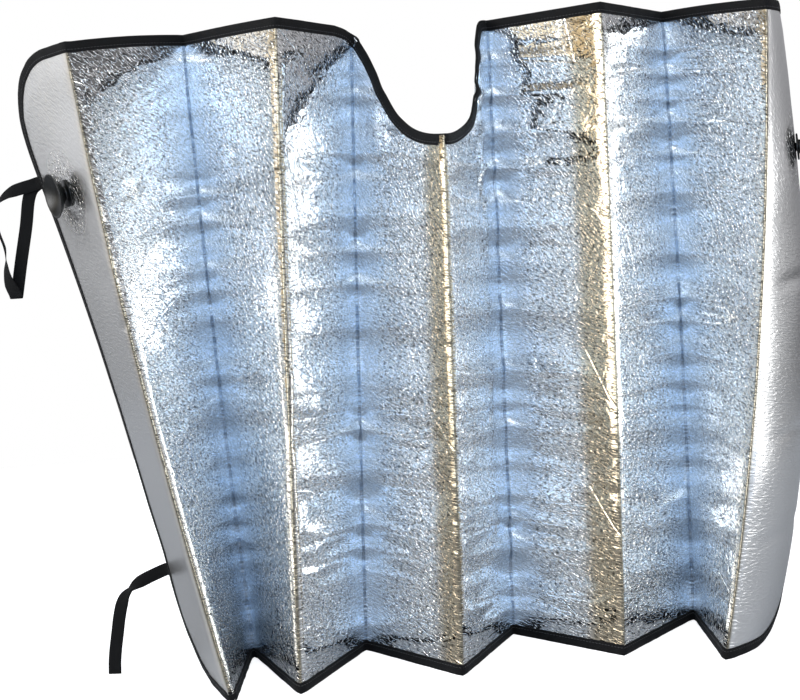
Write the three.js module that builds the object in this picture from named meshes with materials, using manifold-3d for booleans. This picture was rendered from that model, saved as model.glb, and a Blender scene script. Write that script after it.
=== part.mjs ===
// Folding windscreen sunshade: one foil-faced foam sheet with accordion creases, bound round
// its edge, with two suction cups and two elastic loops, standing open on its lower edge.
// Millimetres, +Z up. The origin is under the middle crease, on the surface it stands on.
import * as THREE from 'three';
import { mergeVertices } from 'three/addons/utils/BufferGeometryUtils.js';
import Module from 'manifold-3d';

// Sheet
const PANEL_WIDTH = 130;
const SHEET_HEIGHT = 600;
const SHEET_THICKNESS = 3;
const FOLD_LENGTH = 10;          // sheet that turns round in each crease
const CORNER_RADIUS = 90;
const HEAD_LEAN = [18, 19];      // how far the head of the middle crease stands from its foot

// Mirror cut-out: [distance from the middle crease, depth below the top edge]
const CUTOUT_OUTLINE = [
  [-158, 0], [-132, 5], [-111, 24], [-96, 45], [-82, 67], [-64, 88], [-36, 105], [0, 111],
  [40, 106], [70, 94], [86, 76], [93, 55], [96, 32], [101, 13], [110, 3], [128, 0],
];

// Binding tape, folded over the edge of the sheet
const BINDING_REACH = 9;         // how far it laps over each face
const BINDING_WALL = 0.8;
const BINDING_CLEARANCE = 0.5;

// Suction cups
const CUP_DIAMETER = 41;
const CUP_DEPTH = 10;            // from the mouth to the neck
const CUP_LIP = 1;
const CUP_WALL = 2;
const NECK_DIAMETER = 13;
const NECK_LENGTH = 2.5;
const COLLAR_DIAMETER = 25;
const COLLAR_THICKNESS = 1.6;
const STEM_DIAMETER = 8;
const STEM_CLEARANCE = 0.5;      // between the stem and the punched hole
const SEAT_CLEARANCE = 0.6;      // between the sheet and the collar, and the sheet and the head
const HEAD_DIAMETER = 14;
const HEAD_THICKNESS = 4;
const CUP_INSET = 64;            // from the end of the sheet to the hole
const LEFT_CUP_HEIGHT = 470;
const RIGHT_CUP_HEIGHT = 464;

// Elastic tape
const TAPE_WIDTH = 12;
const TAPE_THICKNESS = 0.8;
const TAPE_PLY_GAP = 0.4;        // between the two plies where the loop lies flat
const TAPE_CLEARANCE = 0.75;     // between the tape and the binding it is sewn to
const UPPER_TAPE_HEIGHT = 486;
const LOWER_TAPE_HEIGHT = 96;

// How each panel stands, from left to right. Headings are the way its lower edge, middle and
// top edge run as seen from above, in degrees from +X. Bow is the turn across the panel.
const PANELS = [
  { foot: -73, middle: -72, head: -54, footBow: 0, headBow: 0 },
  { foot: 84, middle: 63, head: 42, footBow: 0, headBow: 0 },
  { foot: -73, middle: -61, head: -50, footBow: 0, headBow: 0 },
  { foot: 61, middle: 59, head: 57, footBow: 0, headBow: 0 },
  { foot: -53, middle: -55, head: -58, footBow: 0, headBow: 0 },
  { foot: 61, middle: 62, head: 64, footBow: 0, headBow: 0 },
  { foot: -49, middle: -48, head: -48, footBow: 0, headBow: 0 },
  { foot: 46, middle: 48, head: 51, footBow: 0, headBow: 0 },
  { foot: -95, middle: -74, head: -61, footBow: 0, headBow: 0 },
  { foot: 53, middle: 54, head: 86, footBow: 50, headBow: 85 },
];

const COLOURS = { foil: 0xb4b8c0, binding: 0x141416, rubber: 0x1b1c1b, elastic: 0x101011 };

const HALF_LENGTH = PANEL_WIDTH * PANELS.length / 2;
const HALF_SHEET = SHEET_THICKNESS / 2;
const BINDING_OUTSET = BINDING_CLEARANCE + BINDING_WALL;
const FLOOR_OFFSET = BINDING_OUTSET;

const wasm = await Module();
wasm.setup();

// Standing shape of the sheet

function blend(foot, middle, head, share) {
  return foot * (1 - share) * (1 - 2 * share) + 4 * middle * share * (1 - share)
    + head * share * (2 * share - 1);
}

// Points along the sheet where its turning starts or stops, with the heading at each
function turningPoints(share) {
  const points = [];
  PANELS.forEach((panel, index) => {
    const start = index * PANEL_WIDTH - HALF_LENGTH;
    const middle = blend(panel.foot, panel.middle, panel.head, share);
    const halfBow = (panel.footBow * (1 - share) + panel.headBow * share) / 2;
    const flat = 1 - FOLD_LENGTH / PANEL_WIDTH;
    for (const side of [-1, 1]) {
      const along = start + PANEL_WIDTH / 2 + side * (PANEL_WIDTH - FOLD_LENGTH) / 2;
      points.push({ along, heading: THREE.MathUtils.degToRad(middle + side * halfBow * flat) });
    }
  });
  return points;
}

function headingAt(points, along) {
  const next = points.findIndex((point) => point.along >= along);
  if (next === 0) return points[0].heading;
  if (next < 0) return points[points.length - 1].heading;
  const [a, b] = [points[next - 1], points[next]];
  return a.heading + (b.heading - a.heading) * (along - a.along) / (b.along - a.along);
}

// Step in plan along an evenly turning stretch
function advance(from, to, length) {
  const turn = to - from;
  if (Math.abs(turn) < 1e-6) return [length * Math.cos(from), length * Math.sin(from)];
  const radius = length / turn;
  return [radius * (Math.sin(to) - Math.sin(from)), radius * (Math.cos(from) - Math.cos(to))];
}

// Plan position and heading at a distance along the sheet from the middle crease
function planAt(along, share) {
  const points = turningPoints(share);
  const sign = Math.sign(along) || 1;
  const stops = points.map((point) => point.along)
    .filter((stop) => stop * sign > 0 && stop * sign < along * sign);
  stops.sort((a, b) => (a - b) * sign);
  stops.push(along);
  let x = HEAD_LEAN[0] * share;
  let y = HEAD_LEAN[1] * share;
  let last = 0;
  for (const stop of stops) {
    const [dx, dy] = advance(headingAt(points, last), headingAt(points, stop), stop - last);
    x += dx;
    y += dy;
    last = stop;
  }
  return { x, y, heading: headingAt(points, along) };
}

// Upright share of a line of the sheet: its head and foot stand apart in plan
const uprightCache = new Map();
function uprightAt(along) {
  if (!uprightCache.has(along)) {
    const foot = planAt(along, 0);
    const head = planAt(along, 1);
    const apart = Math.hypot(head.x - foot.x, head.y - foot.y) / SHEET_HEIGHT;
    uprightCache.set(along, Math.sqrt(1 - apart * apart));
  }
  return uprightCache.get(along);
}

// A point of the sheet in space: along it, up it, and off its middle towards its front face
function sheetPoint(along, up, off) {
  const plan = planAt(along, up / SHEET_HEIGHT);
  const rise = up > 0 ? up * uprightAt(along) : up;
  return new THREE.Vector3(
    plan.x + off * Math.sin(plan.heading),
    plan.y - off * Math.cos(plan.heading),
    rise + FLOOR_OFFSET,
  );
}

function frontNormalAt(along, up) {
  const step = 1;
  const run = sheetPoint(along + step, up, 0).sub(sheetPoint(along - step, up, 0));
  const rise = sheetPoint(along, up + step, 0).sub(sheetPoint(along, up - step, 0));
  return run.cross(rise).normalize();
}

// Outline of the sheet

const cutoutCurve = new THREE.SplineCurve(CUTOUT_OUTLINE.map(([x, y]) => new THREE.Vector2(x, -y)));
const cutoutPoints = cutoutCurve.getPoints(CUTOUT_OUTLINE.length * 12);
const CUTOUT_LEFT = CUTOUT_OUTLINE[0][0];
const CUTOUT_RIGHT = CUTOUT_OUTLINE[CUTOUT_OUTLINE.length - 1][0];

// The cut-out's edge moved outwards from the material, as a line that only runs to the right
function cutoutLine(outset) {
  const line = [new THREE.Vector2(-HALF_LENGTH, outset)];
  cutoutPoints.forEach((point, index) => {
    const before = cutoutPoints[Math.max(index - 1, 0)];
    const after = cutoutPoints[Math.min(index + 1, cutoutPoints.length - 1)];
    const run = after.clone().sub(before).normalize();
    const moved = new THREE.Vector2(point.x - run.y * outset, point.y + run.x * outset);
    if (moved.x > line[line.length - 1].x + 0.01) line.push(moved);
  });
  line.push(new THREE.Vector2(HALF_LENGTH, outset));
  return line;
}

function cornerDrop(along, outset) {
  const past = Math.abs(along) - (HALF_LENGTH - CORNER_RADIUS);
  const radius = CORNER_RADIUS + outset;
  return past <= 0 ? -outset : CORNER_RADIUS - Math.sqrt(Math.max(radius * radius - past * past, 0));
}

function topEdge(along, outset, line) {
  if (Math.abs(along) > HALF_LENGTH - CORNER_RADIUS) return SHEET_HEIGHT - cornerDrop(along, outset);
  const next = line.findIndex((point) => point.x >= along);
  const [a, b] = [line[next - 1], line[next]];
  return SHEET_HEIGHT + a.y + (b.y - a.y) * (along - a.x) / (b.x - a.x);
}

// Columns of the mesh, close together in the creases, the cut-out and the corners

const PANEL_COLUMNS = 2;
const FOLD_COLUMNS = 4;
const CORNER_COLUMNS = 10;
const CUTOUT_COLUMNS = 24;
const STEEP_EDGE = [84, 99, 5];          // start and end of the cut-out's steep side, and columns in it
const SEAT_COLUMNS = [-13, -5, 5, 13];   // either side of a suction cup
const ROWS = 10;                         // between the two bound edges
const LEAST_COLUMN_GAP = 0.9;
const CIRCLE_SIDES = 24;                 // of the cups and their holes
const CORNER_START = HALF_LENGTH - CORNER_RADIUS;

function spread(from, to, count) {
  return Array.from({ length: count + 1 }, (_, step) => from + (to - from) * step / count);
}

const cornerAngles = spread(0, Math.PI / 2, CORNER_COLUMNS);

function innerColumns() {
  const found = [-CORNER_START, CORNER_START];
  for (let index = 0; index < PANELS.length; index += 1) {
    const start = index * PANEL_WIDTH - HALF_LENGTH;
    found.push(...spread(start, start + PANEL_WIDTH, PANEL_COLUMNS).slice(1, -1));
    if (index > 0) found.push(...spread(start - FOLD_LENGTH / 2, start + FOLD_LENGTH / 2, FOLD_COLUMNS));
  }
  found.push(...spread(CUTOUT_LEFT, CUTOUT_RIGHT, CUTOUT_COLUMNS), ...spread(...STEEP_EDGE));
  const columns = found.filter((along) => Math.abs(along) <= CORNER_START).sort((a, b) => a - b);
  return columns.filter((along, index) => index === 0 || along - columns[index - 1] > LEAST_COLUMN_GAP);
}

function cornerColumns(side) {
  const past = cornerAngles.map((angle) => CORNER_RADIUS * Math.sin(angle));
  const seats = SEAT_COLUMNS.map((step) => CORNER_RADIUS - CUP_INSET + step);
  const found = [...past, ...seats].filter((value) => value > 0).sort((a, b) => a - b);
  const kept = found.filter((value, index) => index === 0 || value - found[index - 1] > LEAST_COLUMN_GAP);
  return kept.map((value) => side * (CORNER_START + value)).sort((a, b) => a - b);
}

// Heights of one column's mesh points: the two edges, the lines the binding reaches, and between
function columnHeights(along, edgeLine, reachLine) {
  const inCorner = Math.abs(along) > CORNER_START;
  const low = cornerDrop(along, 0);
  const high = topEdge(along, 0, edgeLine);
  const lowReach = low + BINDING_REACH;
  const highReach = inCorner ? high - BINDING_REACH : topEdge(along, -BINDING_REACH, reachLine);
  return [low, ...spread(lowReach, highReach, ROWS), high];
}

// Closed body of the folded sheet, before its holes are punched
function foldedSheet() {
  const columns = [...cornerColumns(-1), ...innerColumns(), ...cornerColumns(1)];
  const edgeLine = cutoutLine(0);
  const reachLine = cutoutLine(-BINDING_REACH);
  const positions = [];
  for (const off of [HALF_SHEET, -HALF_SHEET]) {
    for (const along of columns) {
      for (const up of columnHeights(along, edgeLine, reachLine)) {
        positions.push(...sheetPoint(along, up, off).toArray());
      }
    }
  }
  const top = ROWS + 2;
  const front = (column, row) => column * (top + 1) + row;
  const back = (column, row) => (columns.length + column) * (top + 1) + row;
  const indices = [];
  const quad = (a, b, c, d) => indices.push(a, b, c, a, c, d);
  const last = columns.length - 1;
  for (let column = 0; column < last; column += 1) {
    for (let row = 0; row < top; row += 1) {
      quad(front(column, row), front(column + 1, row), front(column + 1, row + 1), front(column, row + 1));
      quad(back(column, row), back(column, row + 1), back(column + 1, row + 1), back(column + 1, row));
    }
    quad(front(column, 0), back(column, 0), back(column + 1, 0), front(column + 1, 0));
    quad(front(column, top), front(column + 1, top), back(column + 1, top), back(column, top));
  }
  for (let row = 0; row < top; row += 1) {
    quad(front(0, row), front(0, row + 1), back(0, row + 1), back(0, row));
    quad(front(last, row), back(last, row), back(last, row + 1), front(last, row + 1));
  }
  return geometryFrom(positions, indices);
}

// Places round the sheet's edge, each giving a point at any outset from it
function edgePlaces() {
  const lines = new Map();
  const lineFor = (outset) => {
    if (!lines.has(outset)) lines.set(outset, cutoutLine(outset));
    return lines.get(outset);
  };
  const corner = (side, end, angle) => (outset) => {
    const radius = CORNER_RADIUS + outset;
    const middle = end > 0 ? SHEET_HEIGHT - CORNER_RADIUS : CORNER_RADIUS;
    return [side * (CORNER_START + radius * Math.sin(angle)), middle + end * radius * Math.cos(angle)];
  };
  const rising = spread(CORNER_RADIUS + BINDING_REACH, SHEET_HEIGHT - CORNER_RADIUS - BINDING_REACH, ROWS);
  const falling = [...rising].reverse();
  const backwards = [...cornerAngles].reverse();
  const inner = innerColumns().slice(1, -1);
  return [
    ...inner.map((along) => (outset) => [along, -outset]),
    ...cornerAngles.map((angle) => corner(1, -1, angle)),
    ...rising.map((up) => (outset) => [HALF_LENGTH + outset, up]),
    ...backwards.map((angle) => corner(1, 1, angle)),
    ...[...inner].reverse().map((along) => (outset) => [along, topEdge(along, outset, lineFor(outset))]),
    ...cornerAngles.map((angle) => corner(-1, 1, angle)),
    ...falling.map((up) => (outset) => [-HALF_LENGTH - outset, up]),
    ...backwards.map((angle) => corner(-1, -1, angle)),
  ];
}

// The binding's U section, as [outset from the edge, distance off the sheet's middle]
function bindingSection() {
  const outside = HALF_SHEET + BINDING_OUTSET;
  const inside = HALF_SHEET + BINDING_CLEARANCE;
  return [
    [-BINDING_REACH, outside], [BINDING_OUTSET, outside],
    [BINDING_OUTSET, -outside], [-BINDING_REACH, -outside],
    [-BINDING_REACH, -inside], [BINDING_CLEARANCE, -inside],
    [BINDING_CLEARANCE, inside], [-BINDING_REACH, inside],
  ];
}

function bindingGeometry() {
  const section = bindingSection();
  const places = edgePlaces();
  const positions = places.flatMap((place) => section.flatMap(([outset, off]) => {
    const [along, up] = place(outset);
    return sheetPoint(along, up, off).toArray();
  }));
  const indices = [];
  const count = section.length;
  places.forEach((_, index) => {
    const next = (index + 1) % places.length;
    for (let side = 0; side < count; side += 1) {
      const beside = (side + 1) % count;
      const [a, b] = [index * count + side, next * count + side];
      const [c, d] = [next * count + beside, index * count + beside];
      // The same diagonals as the sheet's own faces, so that the two stay clear of each other
      const onBack = section[side][1] < 0 && section[beside][1] < 0;
      indices.push(...(onBack ? [a, d, b, b, d, c] : [a, c, b, a, d, c]));
    }
  });
  return geometryFrom(positions, indices);
}

function geometryFrom(positions, indices) {
  const geometry = new THREE.BufferGeometry();
  geometry.setAttribute('position', new THREE.Float32BufferAttribute(positions, 3));
  geometry.setIndex(indices);
  return geometry;
}

// Solids to cut and join

function toSolid(geometry) {
  const bare = geometry.clone();
  bare.deleteAttribute('normal');
  bare.deleteAttribute('uv');
  const merged = mergeVertices(bare, 1e-4);
  const mesh = new wasm.Mesh({
    numProp: 3,
    vertProperties: new Float32Array(merged.attributes.position.array),
    triVerts: new Uint32Array(merged.index.array),
  });
  return new wasm.Manifold(mesh);
}

function toGeometry(solid) {
  const mesh = solid.getMesh();
  const geometry = geometryFrom(Array.from(mesh.vertProperties), Array.from(mesh.triVerts));
  geometry.computeVertexNormals();
  return geometry;
}

function namedMesh(name, geometry, color, roughness, metalness) {
  const mesh = new THREE.Mesh(geometry, new THREE.MeshStandardMaterial({ color, roughness, metalness }));
  mesh.name = name;
  return mesh;
}

// The sheet, with a hole punched for each suction cup

const cupSeats = {
  left: { along: CUP_INSET - HALF_LENGTH, up: LEFT_CUP_HEIGHT },
  right: { along: HALF_LENGTH - CUP_INSET, up: RIGHT_CUP_HEIGHT },
};

// Turns +Z to the way the front of the sheet faces at a seat
function seatTurn({ along, up }) {
  return new THREE.Quaternion().setFromUnitVectors(new THREE.Vector3(0, 0, 1), frontNormalAt(along, up));
}

function punchedHole(seat) {
  const radius = STEM_DIAMETER / 2 + STEM_CLEARANCE;
  const hole = new THREE.CylinderGeometry(radius, radius, 6 * SHEET_THICKNESS, CIRCLE_SIDES);
  hole.rotateX(Math.PI / 2);
  hole.applyQuaternion(seatTurn(seat));
  hole.translate(...sheetPoint(seat.along, seat.up, 0).toArray());
  return toSolid(hole);
}

let sheet = toSolid(foldedSheet());
for (const seat of Object.values(cupSeats)) sheet = sheet.subtract(punchedHole(seat));

// Suction cup, turned about its own axis: +Z runs out of its mouth, z = 0 is the sheet's middle

function cupGeometry() {
  const seat = HALF_SHEET + SEAT_CLEARANCE;
  const neck = seat + COLLAR_THICKNESS;
  const dome = neck + NECK_LENGTH;
  const mouth = dome + CUP_DEPTH;
  const cup = CUP_DIAMETER / 2;
  const profile = [
    [0, -seat - HEAD_THICKNESS],
    [HEAD_DIAMETER * 0.3, -seat - HEAD_THICKNESS],
    [HEAD_DIAMETER / 2, -seat - HEAD_THICKNESS * 0.4],
    [HEAD_DIAMETER / 2, -seat],
    [STEM_DIAMETER / 2, -seat],
    [STEM_DIAMETER / 2, seat],
    [COLLAR_DIAMETER / 2, seat],
    [COLLAR_DIAMETER / 2, neck],
    [NECK_DIAMETER / 2, neck],
    [NECK_DIAMETER / 2, dome],
    [cup * 0.7, dome + CUP_DEPTH * 0.45],
    [cup, mouth - CUP_LIP],
    [cup, mouth],
    [cup - CUP_LIP, mouth],
    [cup * 0.66, dome + CUP_DEPTH * 0.45 + CUP_WALL],
    [NECK_DIAMETER * 0.3, dome + CUP_WALL],
    [0, dome + CUP_WALL],
  ];
  return new THREE.LatheGeometry(profile.map(([r, z]) => new THREE.Vector2(r, z)), CIRCLE_SIDES);
}

function suctionCup(name, seat) {
  const turned = cupGeometry().rotateX(Math.PI / 2);
  const mesh = namedMesh(name, toGeometry(toSolid(turned)), COLOURS.rubber, 0.45, 0);
  mesh.quaternion.copy(seatTurn(seat));
  mesh.position.copy(sheetPoint(seat.along, seat.up, 0));
  return mesh;
}

// Elastic loops. A run is a list of [x, y, z, width direction] from where the tape leaves the
// binding, on the middle of the tape.

const LEFT = [-1, 0, 0];
const AWAY = [0, 1, 0];
// The way the sheet's left edge rises, which the ends sewn to it follow
const EDGE = sheetPoint(-HALF_LENGTH, UPPER_TAPE_HEIGHT, 0)
  .sub(sheetPoint(-HALF_LENGTH, LOWER_TAPE_HEIGHT, 0)).normalize().toArray();

// One loop that hangs open: out along the front ply, folded at the bottom, back up behind
const UPPER_RUN = [
  [-0.7, -0.2, 0, EDGE], [-1.5, 1.2, -0.1, EDGE], [-3.6, 2.3, -0.5, EDGE],
  [-8, 2.5, -1.8, [-0.1, 0, 1]],
  [-16, 2.4, -3.7, [-0.2, 0, 1]], [-25, 2.2, -6.1, [-0.3, 0.3, 1]],
  [-33, 2, -9.5, [-0.5, 0.9, 0.7]], [-40, 2, -15, [-0.3, 1, 0.2]],
  [-44.5, 2, -23, AWAY], [-45.2, 2, -34, AWAY], [-42.5, 2, -47, AWAY], [-39, 2, -60, AWAY],
  [-38.8, 2, -72, [-0.2, 1, 0]], [-39, 2, -84, [-0.8, 1, 0]], [-37, 1.8, -95, [-1, 0.4, 0]],
  [-33, 1.4, -104, LEFT], [-32.3, 1.4, -107, LEFT], [-32.2, 2.8, -108.6, LEFT],
  [-32.1, 4.2, -107, LEFT], [-31.4, 4.2, -104, LEFT],
  [-25.3, 4.2, -75, LEFT], [-17.4, 4.2, -40, LEFT], [-12.5, 4.2, -14, [-1, 0, 0.15]],
  [-8.6, 4.5, -5.5, [-0.6, 0, 0.7]], [-2.6, 4, -1, EDGE], [0, 2.3, -0.1, EDGE],
  [0.7, 0.2, 0, EDGE],
];

// The middle of a loop whose two plies lie flat together, turned edge-on at one place
const LOWER_RUN = [
  [0, 0, 0, EDGE], [-2, 2, -0.5, EDGE], [-11.5, 3, -4, [-0.3, 0, 1]], [-22, 2, -8, [-0.3, 0.1, 1]],
  [-31, 0, -12, [-0.4, 0.7, 0.5]], [-37.5, -2, -16.5, [-0.15, 1, 0.1]], [-43, -4, -22, [-0.8, 0.8, 0.2]],
  [-46.5, -6, -30, [-1, 0.2, 0.2]], [-49.5, -9, -42, LEFT], [-52, -12, -56, LEFT],
  [-54.5, -15, -70, LEFT], [-56, -18, -82, LEFT], [-56.5, -20, -92, LEFT],
];

// The left edge is upright between the sheet's rounded corners and comes inwards in them
function leftEdgeAt(up) {
  const past = Math.max(up - (SHEET_HEIGHT - CORNER_RADIUS), CORNER_RADIUS - up, 0);
  return CORNER_RADIUS - HALF_LENGTH - Math.sqrt(Math.max(CORNER_RADIUS ** 2 - past ** 2, 0));
}

// Places along a run, two for each of its points: the tape's middle, its width and its thickness
function tapePlaces(height, run) {
  const origin = sheetPoint(leftEdgeAt(height) - BINDING_OUTSET - TAPE_CLEARANCE, height, 0);
  const curve = new THREE.CatmullRomCurve3(run.map(([x, y, z]) => new THREE.Vector3(x, y, z).add(origin)));
  const steps = (run.length - 1) * 2;
  return spread(0, 1, steps).map((share, step) => {
    const before = Math.min(Math.floor(step / 2), run.length - 2);
    const along = curve.getTangent(share);
    const width = new THREE.Vector3(...run[before][3])
      .lerp(new THREE.Vector3(...run[before + 1][3]), step / 2 - before)
      .projectOnPlane(along).normalize();
    return { middle: curve.getPoint(share), width, off: along.clone().cross(width) };
  });
}

// Out along one ply and back along the other, from the middle between them
function foldedBack(places) {
  const apart = (TAPE_THICKNESS + TAPE_PLY_GAP) / 2;
  const ply = (side) => places.map(({ middle, width, off }) => ({
    middle: middle.clone().addScaledVector(off, side * apart),
    width,
    off: off.clone().multiplyScalar(side),
    returning: side < 0,
  }));
  const { middle, width, off } = places[places.length - 1];
  const onwards = width.clone().cross(off);
  const fold = { middle: middle.clone().addScaledVector(onwards, apart), width, off: onwards };
  return [...ply(1), fold, ...ply(-1).reverse()];
}

function tapeGeometry(places) {
  const positions = places.flatMap(({ middle, width, off }) => (
    [[-1, -1], [1, -1], [1, 1], [-1, 1]].flatMap(([w, t]) => middle.clone()
      .addScaledVector(width, w * TAPE_WIDTH / 2)
      .addScaledVector(off, t * TAPE_THICKNESS / 2)
      .toArray())
  ));
  const steps = places.length - 1;
  const indices = [];
  const quad = (a, b, c, d) => indices.push(a, b, c, a, c, d);
  for (let step = 0; step < steps; step += 1) {
    for (let side = 0; side < 4; side += 1) {
      const next = (side + 1) % 4;
      const ring = [step * 4 + side, step * 4 + next, step * 4 + 4 + next, step * 4 + 4 + side];
      // All faces across a twist are split along the same diagonal, so that they stay as far apart
      const returning = places[step].returning && places[step + 1].returning;
      if (side === (returning ? 0 : 2)) ring.push(ring.shift());
      quad(...ring);
    }
  }
  const end = steps * 4;
  quad(3, 2, 1, 0);
  quad(end, end + 1, end + 2, end + 3);
  return geometryFrom(positions, indices);
}

const group = new THREE.Group();
group.add(namedMesh('shade_sheet', toGeometry(sheet), COLOURS.foil, 0.3, 0.9));
group.add(namedMesh('edge_binding', bindingGeometry(), COLOURS.binding, 0.85, 0));
group.add(suctionCup('suction_cup_left', cupSeats.left));
group.add(suctionCup('suction_cup_right', cupSeats.right));
const upperTape = tapeGeometry(tapePlaces(UPPER_TAPE_HEIGHT, UPPER_RUN));
const lowerTape = tapeGeometry(foldedBack(tapePlaces(LOWER_TAPE_HEIGHT, LOWER_RUN)));
group.add(namedMesh('elastic_loop_upper', upperTape, COLOURS.elastic, 0.9, 0));
group.add(namedMesh('elastic_loop_lower', lowerTape, COLOURS.elastic, 0.9, 0));

export default group;
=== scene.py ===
import math

import bpy
import numpy as np
from mathutils import Matrix, Vector


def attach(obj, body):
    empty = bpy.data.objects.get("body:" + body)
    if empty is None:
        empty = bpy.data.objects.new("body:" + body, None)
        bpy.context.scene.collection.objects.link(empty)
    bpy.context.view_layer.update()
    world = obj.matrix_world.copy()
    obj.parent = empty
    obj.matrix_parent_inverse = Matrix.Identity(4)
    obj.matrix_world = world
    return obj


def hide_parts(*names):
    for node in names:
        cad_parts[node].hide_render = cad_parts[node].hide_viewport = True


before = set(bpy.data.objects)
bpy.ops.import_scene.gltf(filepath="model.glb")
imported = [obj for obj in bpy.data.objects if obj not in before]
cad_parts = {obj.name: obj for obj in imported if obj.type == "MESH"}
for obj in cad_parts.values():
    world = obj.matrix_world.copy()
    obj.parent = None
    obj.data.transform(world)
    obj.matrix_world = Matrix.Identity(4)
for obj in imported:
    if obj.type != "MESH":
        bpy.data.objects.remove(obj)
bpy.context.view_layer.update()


# Camera
# It looks at the standing shade from the front, a little from the left and from above, and is
# turned slightly about its own axis. Its place is in metres, its sensor and lens in millimetres.

CAMERA_PLACE = (-0.1492, -1.3274, 0.4323)
CAMERA_YAW = math.radians(4.8)
CAMERA_PITCH = math.radians(5.6)
CAMERA_ROLL = math.radians(-3.7)
CAMERA_SENSOR = 36
CAMERA_LENS = 67.54

ahead = Vector((
    math.sin(CAMERA_YAW) * math.cos(CAMERA_PITCH),
    math.cos(CAMERA_YAW) * math.cos(CAMERA_PITCH),
    -math.sin(CAMERA_PITCH),
))
level = Vector((math.cos(CAMERA_YAW), -math.sin(CAMERA_YAW), 0))
raised = level.cross(ahead)
across = level * math.cos(CAMERA_ROLL) + raised * math.sin(CAMERA_ROLL)
upwards = raised * math.cos(CAMERA_ROLL) - level * math.sin(CAMERA_ROLL)

camera_data = bpy.data.cameras.new("camera")
camera_data.sensor_width = CAMERA_SENSOR
camera_data.lens = CAMERA_LENS
camera_data.clip_end = 50
camera = bpy.data.objects.new("camera", camera_data)
bpy.context.scene.collection.objects.link(camera)
turned = Matrix((across, upwards, -ahead)).transposed()
camera.matrix_world = Matrix.Translation(CAMERA_PLACE) @ turned.to_4x4()
bpy.context.scene.camera = camera


# Studio
# A floor and a backdrop that the camera sees white. The foil mirrors a darker room: white at the
# front left and the front right, blue-grey between them, brown at the left, and grey at the right
# and behind.

bpy.context.scene.view_settings.view_transform = "Standard"


def colour(code):
    """Linear colour from an sRGB hex code."""
    parts = [int(code[place:place + 2], 16) / 255 for place in (1, 3, 5)]
    return (*(c / 12.92 if c <= 0.04045 else ((c + 0.055) / 1.055) ** 2.4 for c in parts), 1)


def add_node(tree, kind, inputs=None, **settings):
    """A new node with its settings; each input is given a value or is linked from a socket."""
    node = tree.nodes.new(kind)
    for name, value in settings.items():
        setattr(node, name, value)
    for name, value in (inputs or {}).items():
        if isinstance(value, bpy.types.NodeSocket):
            tree.links.new(value, node.inputs[name])
        else:
            node.inputs[name].default_value = value
    return node


def new_material(name):
    """An empty material and its node tree."""
    material = bpy.data.materials.new(name)
    material.use_nodes = True
    material.node_tree.nodes.clear()
    return material, material.node_tree


# Direction as a share of a full turn, anticlockwise seen from above: behind, left, front, right
ROOM_COLOURS = (
    (0.0, "#6A6B6E"), (0.2, "#6C6D70"), (0.232, "#746D60"), (0.27, "#746D60"), (0.286, "#FFFFFF"),
    (0.322, "#FFFFFF"), (0.34, "#BABABC"), (0.365, "#B7B7BA"), (0.395, "#858E98"),
    (0.47, "#8492A2"), (0.55, "#8492A2"), (0.59, "#68727F"), (0.618, "#68727F"), (0.638, "#727C89"),
    (0.648, "#FAFBFF"), (0.688, "#FFFFFF"), (0.696, "#545456"), (0.78, "#545456"), (0.83, "#404042"),
    (0.93, "#48484A"), (1.0, "#646468"),
)
# Height of a direction, from straight down to straight up, with the brightness there
ROOM_LEVELS = (
    (0.0, 0.17), (0.3, 0.08), (0.42, 0.2), (0.47, 0.67), (0.535, 0.67), (0.558, 1.0), (0.605, 1.0),
    (0.66, 0.3), (0.8, 0.2), (1.0, 0.45),
)
BACKDROP = colour("#FFFFFF")

world = bpy.data.worlds.new("studio")
bpy.context.scene.world = world
world.use_nodes = True
room = world.node_tree
room.nodes.clear()
look = add_node(room, "ShaderNodeTexCoord")
apart = add_node(room, "ShaderNodeSeparateXYZ", {0: look.outputs["Generated"]})
compass = add_node(room, "ShaderNodeMath", {
    0: apart.outputs["X"], 1: add_node(room, "ShaderNodeMath", {
        0: apart.outputs["Y"], 1: -1.0,
    }, operation="MULTIPLY").outputs[0],
}, operation="ARCTAN2").outputs[0]
turn_share = add_node(room, "ShaderNodeMapRange", {
    0: compass, "From Min": -math.pi, "From Max": math.pi,
}).outputs[0]
level_share = add_node(room, "ShaderNodeMapRange", {
    0: apart.outputs["Z"], "From Min": -1.0, "From Max": 1.0,
}).outputs[0]
ramps = []
for share, stops in (
    (turn_share, [(place, colour(code)) for place, code in ROOM_COLOURS]),
    (level_share, [(place, (bright, bright, bright, 1)) for place, bright in ROOM_LEVELS]),
):
    ramp = add_node(room, "ShaderNodeValToRGB", {0: share})
    elements = ramp.color_ramp.elements
    while len(elements) < len(stops):
        elements.new(0.5)
    for element, (place, tint) in zip(elements, stops):
        element.position = place
        element.color = tint
    ramps.append(ramp.outputs[0])
lit_room = add_node(room, "ShaderNodeMix", {
    0: 1.0, 6: ramps[0], 7: ramps[1],
}, data_type="RGBA", blend_type="MULTIPLY").outputs[2]
seen = add_node(room, "ShaderNodeLightPath").outputs["Is Camera Ray"]
shown = add_node(room, "ShaderNodeMix", {0: seen, 6: lit_room, 7: BACKDROP}, data_type="RGBA").outputs[2]
ROOM_BRIGHTNESS = 6.0
brightness = add_node(room, "ShaderNodeMapRange", {
    0: seen, "To Min": ROOM_BRIGHTNESS, "To Max": 1.0,
}).outputs[0]
glow = add_node(room, "ShaderNodeBackground", {"Color": shown, "Strength": brightness})
add_node(room, "ShaderNodeOutputWorld", {"Surface": glow.outputs[0]})


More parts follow.
